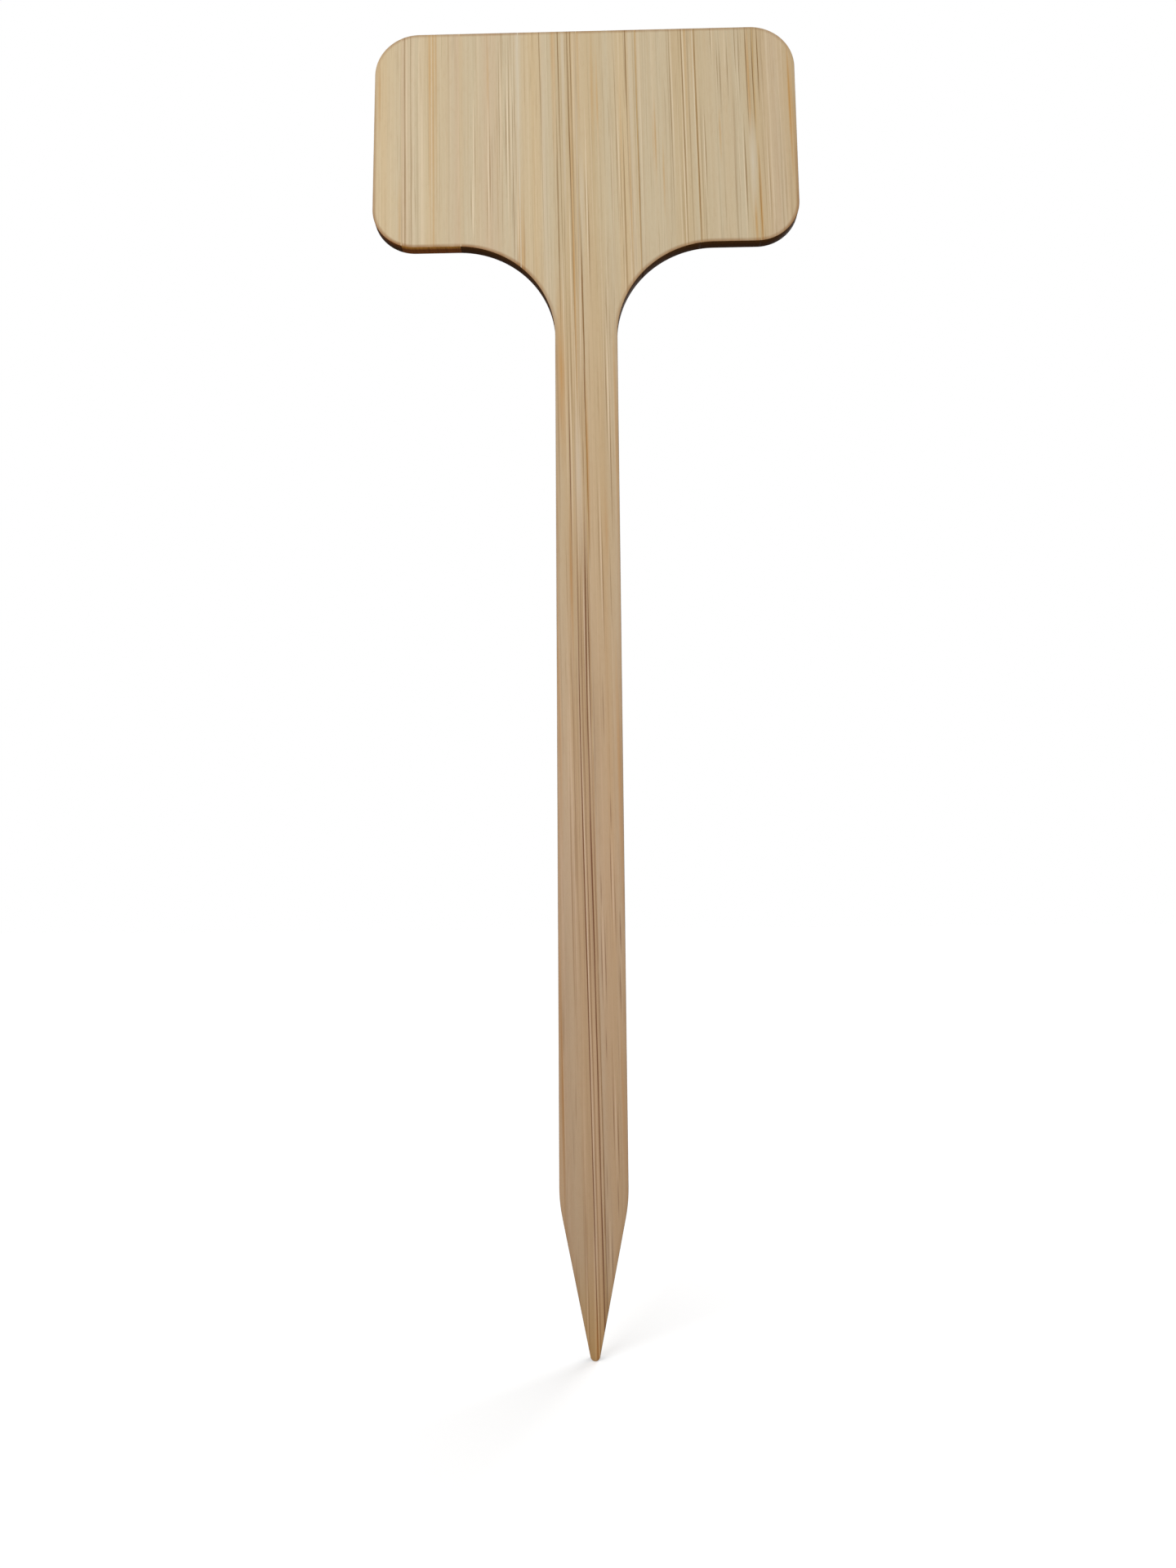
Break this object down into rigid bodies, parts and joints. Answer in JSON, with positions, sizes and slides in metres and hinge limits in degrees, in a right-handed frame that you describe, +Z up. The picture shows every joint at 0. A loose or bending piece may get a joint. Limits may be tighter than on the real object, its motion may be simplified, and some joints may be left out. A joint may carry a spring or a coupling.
{
  "type": "plant label stake",
  "caption": "Flat T-shaped bamboo plant label with a rounded rectangular writing head, curved neck and long pointed stem that pushes into soil.",
  "frame": {"origin": "the rounded tip of the point, in the middle of the board's thickness", "axes": "+Z up the stem to the head, +X across the head to the right seen from the front, +Y through the board to the back"},
  "size_m": [0.06, 0.0016, 0.18],
  "materials": {
    "bamboo": "sanded bare bamboo with laser-charred edges",
    "glue": "cured wood glue, sanded flush"
  },
  "bodies": {
    "root": {"stem_strip_left": "bamboo", "stem_strip_right": "bamboo", "head_strip_left_1": "bamboo", "head_strip_left_2": "bamboo", "head_strip_left_3": "bamboo", "head_strip_right_1": "bamboo", "head_strip_right_2": "bamboo", "head_strip_right_3": "bamboo", "stem_glue_line": "glue", "head_glue_line_left_1": "glue", "head_glue_line_left_2": "glue", "head_glue_line_left_3": "glue", "head_glue_line_right_1": "glue", "head_glue_line_right_2": "glue", "head_glue_line_right_3": "glue"}
  },
  "joints": []
}
